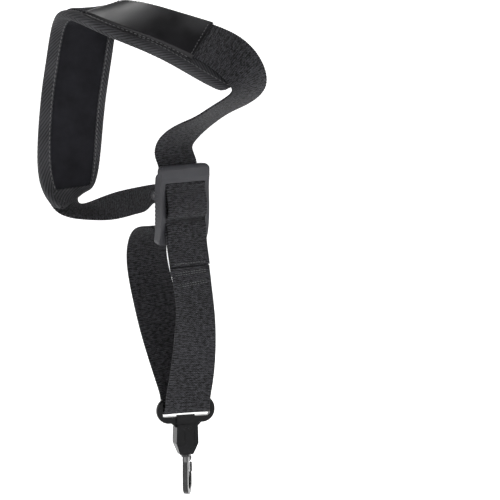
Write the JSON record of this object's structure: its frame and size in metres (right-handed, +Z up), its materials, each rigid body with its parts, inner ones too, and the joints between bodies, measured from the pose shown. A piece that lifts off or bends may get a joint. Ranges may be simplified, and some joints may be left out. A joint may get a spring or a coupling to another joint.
{
  "type": "saxophone neck strap",
  "caption": "Padded neck strap for a saxophone: cushioned neck band, webbing loop through a strap slider, and a swivel snap hook on a plastic ring.",
  "frame": {"origin": "the neck's resting point: middle of the pad's inner face where the band is highest", "axes": "+Z up along the hanging strap, +Y away through the neck opening, +X across the neck opening; the hook hangs at -Z"},
  "size_m": [0.1855, 0.0921, 0.4011],
  "materials": {
    "foam": "matte",
    "velvet": "matte",
    "twill": "matte",
    "leather": "satin",
    "webbing": "matte",
    "slider_plastic": "satin",
    "gloss_black": "gloss",
    "hook_metal": "semi-gloss black coating",
    "steel": "satin",
    "chrome": "polished"
  },
  "bodies": {
    "neck": {"pad_foam_core": "foam", "pad_lining": "velvet", "pad_outer_cover": "twill", "binding_lower_edge": "twill", "binding_upper_edge": "twill", "leather_patch": "leather", "fixed_webbing": "webbing", "running_webbing_neck": "webbing"},
    "slider": {"slider_front_frame": "slider_plastic", "slider_rear_shell": "slider_plastic", "slider_cross_bar": "steel", "slider_rear_bar": "steel", "fixed_webbing_anchor": "webbing", "running_webbing_end": "webbing"},
    "loop": {"running_webbing_loop": "webbing"},
    "ring": {"ring_housing": "gloss_black"},
    "hook": {"hook_body": "hook_metal", "swivel_pin": "steel", "gate_pin": "steel"},
    "gate": {"gate": "chrome"}
  },
  "joints": [
    {"name": "slider_adjust", "type": "slide", "parent": "neck", "child": "slider", "axis": [0, 0, 1], "range_m": [-0.012, 0]},
    {"name": "loop_take_up", "type": "slide", "parent": "slider", "child": "loop", "axis": [0, 0, 1], "range_m": [0, 0.006]},
    {"name": "ring_swing", "type": "hinge", "parent": "loop", "child": "ring", "pos_m": [0.0612, 0.009, -0.3127], "axis": [0.9455, 0.3256, 0], "range_deg": [-30, 30]},
    {"name": "hook_swivel", "type": "hinge", "parent": "ring", "child": "hook", "pos_m": [0.0612, 0.009, -0.3479], "axis": [0, 0, 1], "continuous": true},
    {"name": "gate_pivot", "type": "hinge", "parent": "hook", "child": "gate", "pos_m": [0.06305, 0.02005, -0.3565], "axis": [-0.9863, 0.165, 0], "range_deg": [0, 28], "stiffness_Nm_per_rad": 0.1, "springref_deg": -17.19}
  ],
  "couplings": [
    {"joint": "loop_take_up", "follows": "slider_adjust", "ratio": -0.5}
  ]
}
